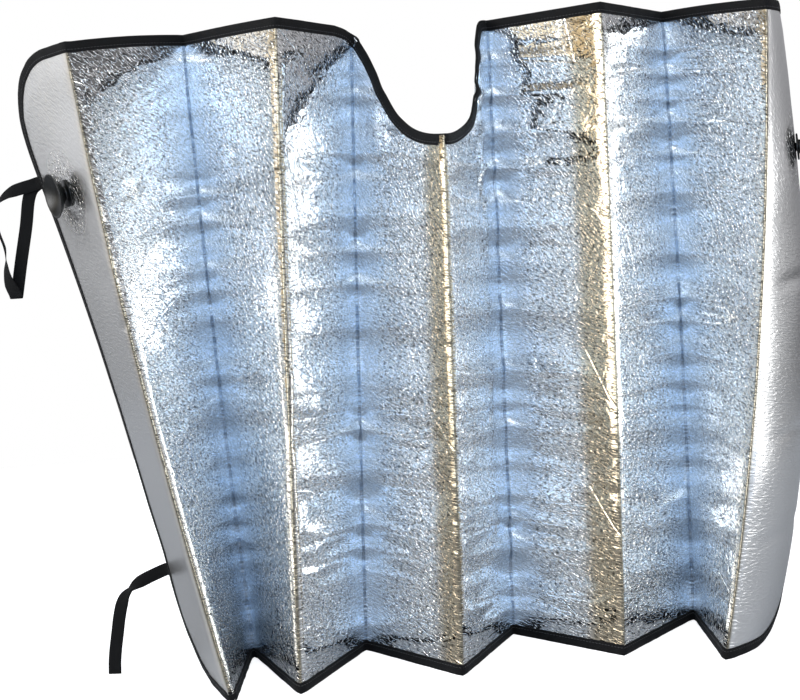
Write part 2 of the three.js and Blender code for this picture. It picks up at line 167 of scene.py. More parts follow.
def soft_light(name, place, target, size, energy, tint):
    """A rectangular softbox turned to a point."""
    data = bpy.data.lights.new(name, "AREA")
    data.shape = "RECTANGLE"
    data.size, data.size_y = size
    data.energy = energy
    data.color = colour(tint)[:3]
    light = bpy.data.objects.new(name, data)
    bpy.context.scene.collection.objects.link(light)
    light.location = place
    light.rotation_euler = (Vector(target) - Vector(place)).to_track_quat("-Z", "Y").to_euler()
    light.visible_camera = False


soft_light("softbox_left", (-2.38, -1.38, 0.4), (0, 0, 0.3), (1.1, 2.8), 32, "#FFFFFF")
soft_light("softbox_above", (0.4, -1.9, 2.2), (0, 0, 0.3), (1.4, 0.5), 12, "#FFF6EA")

FLOOR_REACH = 1.4
floor_mesh = bpy.data.meshes.new("floor")
floor_mesh.from_pydata(
    [(-FLOOR_REACH, -FLOOR_REACH, 0), (FLOOR_REACH, -FLOOR_REACH, 0),
     (FLOOR_REACH, FLOOR_REACH, 0), (-FLOOR_REACH, FLOOR_REACH, 0)],
    [], [(0, 1, 2, 3)],
)
floor = bpy.data.objects.new("floor", floor_mesh)
bpy.context.scene.collection.objects.link(floor)
paper, paper_tree = new_material("matt_paper_floor")
paper_shader = add_node(paper_tree, "ShaderNodeBsdfDiffuse", {"Color": colour("#B9BBBF")})
paper_lit = add_node(paper_tree, "ShaderNodeBsdfDiffuse", {"Color": colour("#FFFFFF")})
paper_glow = add_node(paper_tree, "ShaderNodeEmission", {"Color": colour("#FFFFFF"), "Strength": 0.8})
paper_bright = add_node(paper_tree, "ShaderNodeAddShader", {
    0: paper_lit.outputs[0], 1: paper_glow.outputs[0],
})
paper_seen = add_node(paper_tree, "ShaderNodeLightPath").outputs["Is Camera Ray"]
paper_mix = add_node(paper_tree, "ShaderNodeMixShader", {
    0: paper_seen, 1: paper_shader.outputs[0], 2: paper_bright.outputs[0],
})
add_node(paper_tree, "ShaderNodeOutputMaterial", {"Surface": paper_mix.outputs[0]})
floor_mesh.materials.append(paper)


# Foil sheet
# One sheet of thin foam with metallised film laminated to it, creased by heat into ten panels
# and cut round its edge. The film is finely crinkled, and it buckles in ripples at each valley.

MM = 0.001
PANEL_WIDTH = 130
SHEET_HEIGHT = 600
SHEET_THICKNESS = 3
FOLD_LENGTH = 10
CORNER_RADIUS = 90
HEAD_LEAN = (18, 19)
FLOOR_OFFSET = 1.3
# Distance from the middle crease and depth below the top edge
CUTOUT_OUTLINE = (
    (-158, 0), (-132, 5), (-111, 24), (-96, 45), (-82, 67), (-64, 88), (-36, 105), (0, 111),
    (40, 106), (70, 94), (86, 76), (93, 55), (96, 32), (101, 13), (110, 3), (128, 0),
)
# The headings of each panel's foot, middle and head, then its bow at the foot and at the head
PANELS = (
    (-73, -72, -54, 0, 0), (84, 63, 42, 0, 0), (-73, -61, -50, 0, 0), (61, 59, 57, 0, 0),
    (-53, -55, -58, 0, 0), (61, 62, 64, 0, 0), (-49, -48, -48, 0, 0), (46, 48, 51, 0, 0),
    (-95, -74, -61, 0, 0), (53, 54, 86, 50, 85),
)
HALF_LENGTH = PANEL_WIDTH * len(PANELS) / 2
HALF_SHEET = SHEET_THICKNESS / 2
CORNER_START = HALF_LENGTH - CORNER_RADIUS


def turning_points(share):
    """Places along the sheet where its turning starts or stops, and the heading at each."""
    places, headings = [], []
    flat = 1 - FOLD_LENGTH / PANEL_WIDTH
    for index, (foot, middle, head, foot_bow, head_bow) in enumerate(PANELS):
        centre = (index + 0.5) * PANEL_WIDTH - HALF_LENGTH
        heading = (
            foot * (1 - share) * (1 - 2 * share) + 4 * middle * share * (1 - share)
            + head * share * (2 * share - 1)
        )
        half_bow = (foot_bow * (1 - share) + head_bow * share) / 2 * flat
        for side in (-1, 1):
            places.append(centre + side * (PANEL_WIDTH - FOLD_LENGTH) / 2)
            headings.append(math.radians(heading + side * half_bow))
    return places, headings


def plan_line(share, along):
    """Plan position and heading of the sheet's middle, all along it at one height."""
    places, headings = turning_points(share)
    stops = np.unique(np.concatenate([along, places, [0.0]]))
    heading = np.interp(stops, places, headings)
    turn = np.diff(heading)
    chord = np.diff(stops) * np.sinc(turn / 2 / math.pi)
    middle = heading[:-1] + turn / 2
    x = np.concatenate([[0], np.cumsum(chord * np.cos(middle))])
    y = np.concatenate([[0], np.cumsum(chord * np.sin(middle))])
    start = np.searchsorted(stops, 0.0)
    found = np.searchsorted(stops, along)
    return (
        x[found] - x[start] + HEAD_LEAN[0] * share,
        y[found] - y[start] + HEAD_LEAN[1] * share,
        heading[found],
    )


SHARE_STEPS = 150


def on_sheet(along, up, off):
    """Points of the sheet in metres, from arrays of millimetres along it, up it and off its middle."""
    shape = np.shape(along)
    along, up, off = (np.ravel(value).astype(float) for value in (along, up, off))
    columns, column = np.unique(along, return_inverse=True)
    rows = np.array([plan_line(step / SHARE_STEPS, columns) for step in range(SHARE_STEPS + 1)])
    lean = np.hypot(rows[-1, 0] - rows[0, 0], rows[-1, 1] - rows[0, 1]) / SHEET_HEIGHT
    upright = np.sqrt(1 - lean ** 2)[column]
    level = np.clip(up / SHEET_HEIGHT, 0, 1) * SHARE_STEPS
    row = np.minimum(level.astype(int), SHARE_STEPS - 1)
    part = (level - row)[:, None]
    x, y, heading = (rows[row, :, column] * (1 - part) + rows[row + 1, :, column] * part).T
    z = np.where(up > 0, up * upright, up) + FLOOR_OFFSET
    points = np.stack([x + off * np.sin(heading), y - off * np.cos(heading), z], axis=-1)
    return points.reshape(*shape, 3) * MM


def smooth_curve(points, steps):
    """Evenly stepped points of a uniform Catmull-Rom curve."""
    points = np.array(points, float)
    place = np.linspace(0, len(points) - 1, steps + 1)
    start = np.minimum(place.astype(int), len(points) - 2)
    t = (place - start)[:, None]
    before, here, there, after = (
        points[np.clip(start + step, 0, len(points) - 1)] for step in (-1, 0, 1, 2)
    )
    pull_in, pull_out = (there - before) / 2, (after - here) / 2
    return (
        (2 * here - 2 * there + pull_in + pull_out) * t ** 3
        + (3 * there - 3 * here - 2 * pull_in - pull_out) * t ** 2 + pull_in * t + here
    )


CUTOUT_STEPS = 12                 # for each point of its outline
cutout = smooth_curve(
    [(x, -depth) for x, depth in CUTOUT_OUTLINE], len(CUTOUT_OUTLINE) * CUTOUT_STEPS,
)


def top_edge(along, outset=0.0):
    """Height of the sheet's top edge, or of a line set off from it, between the round corners."""
    run = np.gradient(cutout, axis=0)
    run /= np.linalg.norm(run, axis=1)[:, None]
    moved = np.stack([cutout[:, 0] - run[:, 1] * outset, cutout[:, 1] + run[:, 0] * outset], axis=1)
    kept = [moved[0]]
    for point in moved:
        if point[0] > kept[-1][0] + 0.01:
            kept.append(point)
    kept = np.array(kept)
    return SHEET_HEIGHT + np.interp(along, kept[:, 0], kept[:, 1], left=outset, right=outset)


def corner_drop(along, outset=0.0):
    """How far the edge of a round corner stands in from the straight edge."""
    past = np.maximum(np.abs(along) - CORNER_START, 0)
    radius = CORNER_RADIUS + outset
    return CORNER_RADIUS - np.sqrt(np.maximum(radius ** 2 - past ** 2, 0))


def wander(place, wavelength, seed, octaves=2):
    """Smooth random line, about -1 to 1, with features of about one wavelength."""
    total = np.zeros(np.shape(place))
    weight = 0.0
    for octave in range(octaves):
        draws = np.random.default_rng(seed * 10 + octave).uniform(-1, 1, 4096)
        step = np.asarray(place) / wavelength * 2 ** octave * 2 + 2000
        low = np.floor(step).astype(int)
        t = step - low
        t = t * t * (3 - 2 * t)
        share = 0.5 ** octave
        total += share * (draws[low] * (1 - t) + draws[low + 1] * t)
        weight += share
    return total / weight


def patchy(along, up, wavelength, seed):
    """Smooth random surface, about -1 to 1, with features of about one wavelength."""
    grid = np.random.default_rng(seed).uniform(-1, 1, (256, 256))
    a, b = np.asarray(along) / wavelength * 2 + 128, np.asarray(up) / wavelength * 2 + 64
    i, j = np.floor(a).astype(int), np.floor(b).astype(int)
    s, t = a - i, b - j
    s, t = s * s * (3 - 2 * s), t * t * (3 - 2 * t)
    return (
        grid[i, j] * (1 - s) * (1 - t) + grid[i + 1, j] * s * (1 - t)
        + grid[i, j + 1] * (1 - s) * t + grid[i + 1, j + 1] * s * t
    )


RIPPLE_SPACING = 23
# For each valley: its place along the sheet, how high its ripples stand at the foot and at the
# head, and their reach each side of it
RIPPLES = ((-390, 1.3, 2.5, 50), (-130, 3.0, 3.0, 90), (130, 3.2, 3.2, 94), (390, 2.4, 2.8, 74))
RIPPLE_FOOT_AND_HEAD = (60, 300)  # how high up the sheet each of those two heights holds
RIPPLE_SWAY = 5
RIPPLE_SWAY_SPACING = 90
RIPPLE_SLANT = 0.05
RIPPLE_STRENGTH_SPACING = 150
BULGE_SPACING = 110
BULGE_HEIGHT = 0.9
# The binding holds the film flat: bulges and ripples grow to their full height this far inwards
BULGE_GROWTH = 60
RIPPLE_GROWTH = 45
PUCKER_SPACING = 17
PUCKER_HEIGHT = 0.55
PUCKER_REACH = 26                 # inwards from the binding
PUCKER_GROWTH = 6
PUCKER_SLANT = 0.12
VALLEYS = [place for place, _, _, _ in RIPPLES]
RIDGES = [PANEL_WIDTH * step for step in (-4, -2, 0, 2, 4)]
# The pressed creases are sharper than a plain bend: half the turn of one, and how much of it is sharp
CREASE_TURN = 1.0
CREASE_SHARP = 0.88
# Short cracks across the ridges: place along the sheet and height up it
RIDGE_CRACKS = ((-520, 344), (-520, 215), (-260, 485), (-260, 472), (0, 300), (260, 410), (260, 150))
CRACK_DEPTH = 1.6
CRACK_REACH = (6, 1.8)
# A dent pushed into the foam: place along the sheet, height up it, its reach and its depth
DENT = (-326, 483, 8, 3.2)
DENT_FOLDS = 7
DENT_FOLD_HEIGHT = 0.9
# Cross creases of the curled end panel: height up the sheet, depth and width
CROSS_CREASES = ((338, 1.6, 6), (196, 0.7, 5), (100, 1.1, 6))
CROSS_CREASE_START = 25           # beyond the last ridge
CROSS_CREASE_SLANT = 0.06


def relief(along, up):
    """How far the film stands off its flat place: ripples, bulges, puckers and cross creases."""
    along, up = np.asarray(along, float), np.asarray(up, float)
    high = np.where(
        np.abs(along) > CORNER_START, SHEET_HEIGHT - corner_drop(along), top_edge(along),
    )
    low = corner_drop(along)
    inwards = np.minimum(up - low, high - up).clip(0)
    total = BULGE_HEIGHT * patchy(along, up, BULGE_SPACING, 3) * np.minimum(inwards / BULGE_GROWTH, 1)
    stiff = 0.2 + 0.8 * np.minimum(inwards / RIPPLE_GROWTH, 1) ** 1.5
    for index, (valley, foot_tall, head_tall, reach) in enumerate(RIPPLES):
        aside = np.abs(along - valley)
        sway = up + RIPPLE_SWAY * wander(up, RIPPLE_SWAY_SPACING, 40 + index)
        sway += RIPPLE_SLANT * (along - valley)
        ripple = wander(sway, RIPPLE_SPACING, 20 + index, octaves=1)
        strength = 0.65 + 0.35 * wander(up, RIPPLE_STRENGTH_SPACING, 60 + index)
        tall = np.interp(up, RIPPLE_FOOT_AND_HEAD, (foot_tall, head_tall))
        total += tall * stiff * strength * ripple * np.exp(-(aside / reach) ** 4)
    fade = np.exp(-inwards / PUCKER_REACH) * np.minimum(inwards / PUCKER_GROWTH, 1)
    total += PUCKER_HEIGHT * fade * wander(along + PUCKER_SLANT * up, PUCKER_SPACING, 5)
    for crease in RIDGES + VALLEYS:
        side = 1 if crease in RIDGES else -1
        bend = np.maximum(CREASE_SHARP - np.abs(along - crease) / (FOLD_LENGTH / 2), 0) * CREASE_TURN
        total += side * FOLD_LENGTH / 2 / CREASE_TURN * (1 / np.cos(bend) - 1)
    for place, height in RIDGE_CRACKS:
        total -= CRACK_DEPTH * np.exp(
            -((along - place) / CRACK_REACH[0]) ** 2 - ((up - height) / CRACK_REACH[1]) ** 2,
        )
    place, height, reach, deep = DENT
    away = np.hypot(along - place, up - height)
    turn = np.arctan2(up - height, along - place)
    total -= deep * np.exp(-(away / reach) ** 2)
    folds = np.abs(np.sin(turn * DENT_FOLDS / 2 + 0.6)) ** 0.5 - 0.7
    total += DENT_FOLD_HEIGHT * folds * np.exp(-((away - reach * 1.3) / reach) ** 2)
    on_end = 1 / (1 + np.exp(-(along - (RIDGES[-1] + CROSS_CREASE_START)) / 5))
    for height, deep, wide in CROSS_CREASES:
        lean = height + CROSS_CREASE_SLANT * (along - RIDGES[-1])
        total -= deep * on_end * np.exp(-((up - lean) / wide) ** 2)
    return total


CREASE_STEPS = (0, 0.5, 1.5, 2.8, 4)
PANEL_COLUMNS = 21


def columns_of_sheet():
    """Places along the sheet for its mesh: closer together at the creases."""
    found = []
    for index in range(len(PANELS)):
        start = index * PANEL_WIDTH - HALF_LENGTH
        found += [start + step for step in CREASE_STEPS]
        first, last = start + FOLD_LENGTH / 2, start + PANEL_WIDTH - FOLD_LENGTH / 2
        found += list(np.linspace(first, last, PANEL_COLUMNS))
        found += [start + PANEL_WIDTH - step for step in CREASE_STEPS[:0:-1]]
    return np.array(found + [HALF_LENGTH])


SHEET_ROWS = 155
# The foam is squeezed thin by the stitches, and swells to its full thickness further in
SEWN_HALF = 0.7
SEWN_BAND = (9, 26)
CUP_INSET = 64
CUP_SEATS = {"left": (CUP_INSET - HALF_LENGTH, 470), "right": (HALF_LENGTH - CUP_INSET, 464)}
PUNCHED_RADIUS = 4.5
PUNCHED_INSIDE = PUNCHED_RADIUS * 0.8
PUNCHED_BESIDE = PUNCHED_RADIUS * 1.5
# Painted warm reflection beside the left of a ridge: its place, how wide it is there, and how strong
PAINTED_WARM_REFLECTIONS = ((-520, 3, 0.3), (-260, 6, 0.5), (0, 24, 1), (260, 36, 1), (520, 8, 0.4))
# How far the film is changed each side: a painted blue reflection and calmer film at a valley,
# painted shade in its crease, a darker tan line at a ridge, and pulled uneven round a cup
BLUE_REFLECTION_REACH = 48
CALM_REACH = 30
CREASE_SHADE_REACH = 0.7
RIDGE_LINE_REACH = 1.2
CUP_PULL_REACH = 34
# The back shows another part of the same crinkles, this many metres away along and up
BACK_SHIFT = (0, 2)


def grid_faces(columns, rows, skip):
    """Quads of the front face of a grid, without the ones that touch a skipped place."""
    column, row = np.meshgrid(np.arange(columns - 1), np.arange(rows - 1), indexing="ij")
    a = column * rows + row
    quads = np.stack([a, a + rows, a + rows + 1, a + 1], axis=-1).reshape(-1, 4)
    return quads[~skip[quads].any(axis=1)]


def open_edges(quads):
    """The edges that only one quad has, in the quads' own direction."""
    seen_edges = {}
    for quad in quads.tolist():
        for step in range(4):
            pair = (quad[step], quad[(step + 1) % 4])
            if (pair[1], pair[0]) in seen_edges:
                del seen_edges[(pair[1], pair[0])]
            else:
                seen_edges[pair] = True
    return list(seen_edges)


def mesh_piece(name, points, faces, material):
    """A new mesh object from points in metres."""
    mesh = bpy.data.meshes.new(name)
    mesh.from_pydata(np.asarray(points).tolist(), [], [list(map(int, face)) for face in faces])
    mesh.polygons.foreach_set("use_smooth", [True] * len(mesh.polygons))
    mesh.materials.append(material)
    piece = bpy.data.objects.new(name, mesh)
    bpy.context.scene.collection.objects.link(piece)
    return piece


def face_maps(piece, values):
    """A UV map from two numbers for each point of the mesh."""
    layer = piece.data.uv_layers.new(name="flat")
    corners = np.empty(len(piece.data.loops), int)
    piece.data.loops.foreach_get("vertex_index", corners)
    layer.data.foreach_set("uv", np.asarray(values, float)[corners].ravel())


def foil_material():
    """Vacuum-metallised film on foam: a mirror-like metal broken up by fine crinkles."""
    material, tree = new_material("metallised_film_crinkled")
    flat = add_node(tree, "ShaderNodeUVMap", uv_map="flat").outputs[0]
    # Real crinkles are 1 to 3 mm apart, which is about the finest that the whole shade can show
    patterns = []
    for turn, across_mm, along_mm, detail, roughness, distortion in (
        (-44, 6.5, 2.1, 0.6, 0.5, 0.1),    # slanting strokes, high up the sheet
        (-10, 7, 2.1, 0.6, 0.5, 0.1),      # lying strokes, low down
        (0, 22, 16, 2, 0.5, 0.6),          # slack film between them
        (-20, 5, 1.9, 1, 0.6, 0),          # pits that catch no light
    ):
        laid = add_node(tree, "ShaderNodeMapping", {
            "Vector": flat, "Rotation": (0, 0, math.radians(turn)),
            "Scale": (across_mm * MM, along_mm * MM, 1),
        }, vector_type="TEXTURE").outputs[0]
        patterns.append(add_node(tree, "ShaderNodeTexNoise", {
            "Vector": laid, "Scale": 1, "Detail": detail, "Roughness": roughness,
            "Distortion": distortion,
        }, noise_dimensions="2D").outputs[0])
    slanting, lying, slack, pits = patterns
    height = add_node(tree, "ShaderNodeSeparateXYZ", {0: flat}).outputs["Y"]
    lower = add_node(tree, "ShaderNodeMapRange", {
        0: height, "From Min": 0.46, "From Max": 0.28,
    }).outputs[0]
    strokes = add_node(tree, "ShaderNodeMix", {0: lower, 2: slanting, 3: lying}).outputs[0]
    # Each stroke is a low flat welt with steep sides
    strokes = add_node(tree, "ShaderNodeMapRange", {
        0: strokes, "From Min": 0.44, "From Max": 0.57,
    }, interpolation_type="SMOOTHSTEP").outputs[0]
    # A few long hair creases cross the panels
    laid = add_node(tree, "ShaderNodeMapping", {
        "Vector": flat, "Rotation": (0, 0, math.radians(-28)), "Scale": (190 * MM, 80 * MM, 1),
    }, vector_type="TEXTURE").outputs[0]
    hairs = add_node(tree, "ShaderNodeTexVoronoi", {
        "Vector": laid, "Scale": 1, "Randomness": 1,
    }, feature="DISTANCE_TO_EDGE", voronoi_dimensions="2D").outputs["Distance"]
    hair = add_node(tree, "ShaderNodeMapRange", {0: hairs, "From Max": 0.01}).outputs[0]
    # Painted shade: the film's colour is darkened in small specks, as pits that catch no light
    painted_pit_shade = add_node(tree, "ShaderNodeMapRange", {
        0: pits, "From Min": 0.32, "From Max": 0.4, "To Min": 0.35, "To Max": 1,
    }).outputs[0]
    # The two end panels are stretched smoother than the rest, and so is the film beside a valley
    calm = add_node(tree, "ShaderNodeAttribute", attribute_name="calm").outputs["Fac"]
    lively = add_node(tree, "ShaderNodeMapRange", {0: calm, "To Min": 1, "To Max": 0.15}).outputs[0]
    painted_pit_shade = add_node(tree, "ShaderNodeMix", {0: calm, 2: painted_pit_shade, 3: 1.0}).outputs[0]
    normal = None
    for welts, height_mm in ((strokes, 0.66), (slack, 0.6), (hair, 0.15)):
        raised_film = add_node(tree, "ShaderNodeMath", {0: welts, 1: lively}, operation="MULTIPLY")
        bump = add_node(tree, "ShaderNodeBump", {
            "Height": raised_film.outputs[0], "Strength": 1, "Distance": height_mm * MM,
        })
        if normal is not None:
            tree.links.new(normal, bump.inputs["Normal"])
        normal = bump.outputs[0]

    # Painted blue reflection: the film's colour turns bluer towards each valley
    valley = add_node(tree, "ShaderNodeAttribute", attribute_name="valley").outputs["Fac"]
    film = add_node(tree, "ShaderNodeMix", {
        0: valley, 6: colour("#FAFAF8"), 7: colour("#E6EFF8"),
    }, data_type="RGBA").outputs[2]
    # Painted warm reflection beside some ridges, a darker tan line along each ridge, and painted shade in
    # the valley creases
    for name, tone in (("painted_warm_reflection", "#D2C3A8"), ("ridge", "#ADA592"), ("crease", "#8C9DB0")):
        share = add_node(tree, "ShaderNodeAttribute", attribute_name=name).outputs["Fac"]
        film = add_node(tree, "ShaderNodeMix", {
            0: share, 6: film, 7: colour(tone),
        }, data_type="RGBA").outputs[2]
    tint = add_node(tree, "ShaderNodeMix", {
        0: 1.0, 6: film, 7: painted_pit_shade,
    }, data_type="RGBA", blend_type="MULTIPLY").outputs[2]
    dull = add_node(tree, "ShaderNodeMapRange", {0: calm, "To Min": 0.06, "To Max": 0.3}).outputs[0]
    shader = add_node(tree, "ShaderNodeBsdfPrincipled", {
        "Base Color": tint, "Metallic": 1, "Roughness": dull, "Normal": normal,
    })
    add_node(tree, "ShaderNodeOutputMaterial", {"Surface": shader.outputs[0]})
    return material


def build_sheet():
    along = columns_of_sheet()
    low = corner_drop(along)
    high = np.where(np.abs(along) > CORNER_START, SHEET_HEIGHT - low, top_edge(along))
    share = np.linspace(0, 1, SHEET_ROWS + 1)
    up = low[:, None] + (high - low)[:, None] * share[None, :]
    along = np.repeat(along[:, None], len(share), axis=1)
    # Points round a punched hole are moved onto it, and those inside it are left out
    inside = np.zeros(along.shape, bool)
    for seat_along, seat_up in CUP_SEATS.values():
        away = np.hypot(along - seat_along, up - seat_up)
        inside |= away < PUNCHED_INSIDE
        near = (away >= PUNCHED_INSIDE) & (away < PUNCHED_BESIDE)
        scale = np.where(near, PUNCHED_RADIUS / np.maximum(away, 1e-6), 1)
        along = seat_along + (along - seat_along) * scale
        up = seat_up + (up - seat_up) * scale
    raise_by = relief(along, np.clip(up, low[:, None] + SEWN_BAND[0], high[:, None] - SEWN_BAND[0]))
    inwards = np.minimum(up - low[:, None], high[:, None] - up)
    inwards = np.minimum(inwards, HALF_LENGTH - np.abs(along))
    half = np.interp(inwards, SEWN_BAND, (SEWN_HALF, HALF_SHEET))
    front = on_sheet(along, up, half + raise_by)
    back = on_sheet(along, up, raise_by - half)
    quads = grid_faces(*along.shape, inside.ravel())
    count = along.size
    walls = [(b, a, a + count, b + count) for a, b in open_edges(quads)]
    faces = quads.tolist() + (quads[:, ::-1] + count).tolist() + walls
    points = np.concatenate([front.reshape(-1, 3), back.reshape(-1, 3)])
    used = np.unique(np.array([v for face in faces for v in face]))
    renumber = np.full(len(points), -1)
    renumber[used] = np.arange(len(used))
    faces = [[int(renumber[v]) for v in face] for face in faces]
    piece = mesh_piece("foil_sheet", points[used], faces, foil_material())
    flat = np.stack([along.ravel(), up.ravel()], axis=1) * MM
    face_maps(piece, np.concatenate([flat, flat + BACK_SHIFT])[used])
    aside = np.min([np.abs(along - valley) for valley in VALLEYS], axis=0)
    # Painted blue reflection, strongest at each valley
    depth = np.exp(-(aside / BLUE_REFLECTION_REACH) ** 2)
    # Painted shade along each valley crease, broken in places
    crease = np.exp(-(aside / CREASE_SHADE_REACH) ** 4) * (0.75 + 0.5 * wander(up, 9, 83)).clip(0, 1)
    # Painted warm reflection beside the left of some ridges
    painted_warm_reflection = np.zeros(along.shape)
    for ridge, wide, deep in PAINTED_WARM_REFLECTIONS:
        past = (along - (ridge - wide + 3 * wander(up, 40, 71))) / 3
        painted_warm_reflection += deep / (1 + np.exp(-np.clip(past, -30, 30))) * (along < ridge)
    beside_valley = 0.75 * np.exp(-(aside / CALM_REACH) ** 4)
    still = np.where(np.abs(along) > HALF_LENGTH - PANEL_WIDTH, 1, beside_valley)
    for seat_along, seat_up in CUP_SEATS.values():
        still -= 0.8 * np.exp(-(np.hypot(along - seat_along, up - seat_up) / CUP_PULL_REACH) ** 4)
    still = np.clip(still, 0, 1)
    from_ridge = np.min([np.abs(along - ridge) for ridge in RIDGES], axis=0)
    # A darker tan line painted along each ridge
    ridge_line = np.exp(-(from_ridge / RIDGE_LINE_REACH) ** 4)
    maps = {"valley": depth, "calm": still, "ridge": ridge_line, "crease": crease, "painted_warm_reflection": painted_warm_reflection}
    for name, value in maps.items():
        attribute = piece.data.attributes.new(name, "FLOAT", "POINT")
        attribute.data.foreach_set("value", np.concatenate([value.ravel()] * 2)[used])
    return piece


foil_sheet = build_sheet()
# What the mirror cut-out takes away, summed in strips 1 mm wide
CUTOUT_AREA = float(np.sum(SHEET_HEIGHT - top_edge(np.arange(-160, 130)))) * MM * MM
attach(foil_sheet, "shade")
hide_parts("shade_sheet")


# Edge binding
# One length of black woven polyester tape, folded over the cut edge of the sheet and sewn
# through with one line of thread, all the way round.

BINDING_REACH = 9
# Its closed section: distance out from the sheet's edge, and off the sheet's middle
BINDING_SECTION = (
    (-9, 0.95), (-8.7, 1.3), (-7.2, 1.45), (-6.2, 1.35), (-5.2, 1.5), (-3, 1.6), (-0.8, 1.5),
    (0.5, 1.15), (1.15, 0.6), (1.3, 0), (1.15, -0.6), (0.5, -1.15), (-0.8, -1.5), (-3, -1.6),
    (-5.2, -1.5), (-6.2, -1.35), (-7.2, -1.45), (-8.7, -1.3), (-9, -0.95),
    (-4, -0.85), (0.1, -0.8), (0.1, 0.8), (-4, 0.85),
)
BINDING_STEP = 5
CORNER_PLACES = 29
SIDE_PLACES = 85


def edge_places():
    """Points all round the sheet's edge, and the way straight out from the sheet at each."""
    straight = np.arange(-CORNER_START, CORNER_START + 1, BINDING_STEP)
    angles = np.linspace(0, math.pi / 2, CORNER_PLACES)
    rising = np.linspace(CORNER_RADIUS, SHEET_HEIGHT - CORNER_RADIUS, SIDE_PLACES)[1:-1]
    run = np.gradient(cutout, axis=0)
    run /= np.linalg.norm(run, axis=1)[:, None]
    places = []

    def corner(side, end, angle):
        centre = SHEET_HEIGHT - CORNER_RADIUS if end > 0 else CORNER_RADIUS
        reach = (side * math.sin(angle), end * math.cos(angle))
        places.append((
            (side * CORNER_START + CORNER_RADIUS * reach[0], centre + CORNER_RADIUS * reach[1]), reach,
        ))

    for along in straight[1:-1]:
        places.append(((along, 0), (0, -1)))
    for angle in angles:
        corner(1, -1, angle)
    for up in rising:
        places.append(((HALF_LENGTH, up), (1, 0)))
    for angle in angles[::-1]:
        corner(1, 1, angle)
    for along in straight[::-1]:
        if CUTOUT_OUTLINE[-1][0] < along < CORNER_START:
            places.append(((along, SHEET_HEIGHT), (0, 1)))
    for point, way in zip(cutout[::-2], run[::-2]):
        places.append(((point[0], SHEET_HEIGHT + point[1]), (-way[1], way[0])))
    for along in straight[::-1]:
        if -CORNER_START < along < CUTOUT_OUTLINE[0][0]:
            places.append(((along, SHEET_HEIGHT), (0, 1)))
    for angle in angles:
        corner(-1, 1, angle)
    for up in rising[::-1]:
        places.append(((-HALF_LENGTH, up), (-1, 0)))
    for angle in angles[::-1]:
        corner(-1, -1, angle)
    edge, outwards = (np.array(part, float) for part in zip(*places))
    return edge, outwards


def around_edge(outset, off):
    """Points in metres at the given distances out from the edge and off the middle, all round."""
    edge, outwards = edge_places()
    flat = edge[:, None, :] + outwards[:, None, :] * np.asarray(outset, float)[None, :, None]
    off = np.broadcast_to(np.asarray(off, float), flat.shape[:2])
    inner = edge - outwards * BINDING_REACH
    wave = relief(inner[:, 0], inner[:, 1])[:, None]
    return on_sheet(flat[..., 0], flat[..., 1], off + wave)


def ring_faces(places, section):
    """Quads of a section swept round a closed loop of places."""
    faces = []
    for place in range(places):
        following = (place + 1) % places
        for side in range(section):
            beside = (side + 1) % section
            faces.append((
                place * section + side, following * section + side,
                following * section + beside, place * section + beside,
            ))
    return faces


def woven_material(name, thread_mm, dark, light, roughness):
    """Black woven tape: short raised threads in rows, with a painted highlight that makes them a little
    lighter where they stand up.
    """
    material, tree = new_material(name)
    flat = add_node(tree, "ShaderNodeUVMap", uv_map="flat").outputs[0]
    # Real threads are about half as far apart, which is too fine to show
    waves = []
    for turn in (math.radians(45), math.radians(-45)):
        turned_map = add_node(tree, "ShaderNodeMapping", {"Vector": flat, "Rotation": (0, 0, turn)})
        waves.append(add_node(tree, "ShaderNodeTexWave", {
            "Vector": turned_map.outputs[0], "Scale": 0.314 / (thread_mm * MM), "Distortion": 0.4,
        }).outputs["Fac"])
    woven = add_node(tree, "ShaderNodeMath", {0: waves[0], 1: waves[1]}, operation="MULTIPLY").outputs[0]
    fuzz = add_node(tree, "ShaderNodeTexNoise", {"Vector": flat, "Scale": 900, "Detail": 3}).outputs[0]
    height = add_node(tree, "ShaderNodeMath", {0: woven, 1: fuzz}, operation="ADD").outputs[0]
    bump = add_node(tree, "ShaderNodeBump", {"Height": height, "Strength": 0.8, "Distance": 0.0004})
    # Painted highlight: the colour is lighter on the raised threads
    tint = add_node(tree, "ShaderNodeMix", {
        0: woven, 6: colour(dark), 7: colour(light),
    }, data_type="RGBA")
    shader = add_node(tree, "ShaderNodeBsdfPrincipled", {
        "Base Color": tint.outputs[2], "Roughness": roughness, "Normal": bump.outputs[0],
        "Specular IOR Level": 0.22, "Sheen Weight": 0.03, "Sheen Roughness": 0.4,
    })
    add_node(tree, "ShaderNodeOutputMaterial", {"Surface": shader.outputs[0]})
    return material


polyester_tape = woven_material("polyester_tape_woven", 1.2, "#050506", "#0F0F11", 0.62)


def build_binding():
    outset, off = (np.array(part, float) for part in zip(*BINDING_SECTION))
    points = around_edge(outset, off)
    places, section = points.shape[:2]
    piece = mesh_piece(
        "binding_tape", points.reshape(-1, 3), ring_faces(places, section), polyester_tape,
    )
    outermost = int(np.argmax(outset))
    length = np.linalg.norm(np.diff(points[:, outermost], axis=0), axis=1)
    run = np.concatenate([[0], np.cumsum(length)])
    width = np.concatenate([[0], np.cumsum(np.hypot(np.diff(outset), np.diff(off)))]) * MM
    flat = np.stack(np.broadcast_arrays(run[:, None], width[None, :]), axis=-1)
    face_maps(piece, flat.reshape(-1, 2))
    return piece, run[-1]


binding_tape, BINDING_LENGTH = build_binding()
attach(binding_tape, "shade")
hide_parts("edge_binding")


# Binding stitches
# A lockstitch of black polyester thread, sewn through both sides of the tape and the foil sheet
# between them. It lies in the groove that it pulls into the tape.

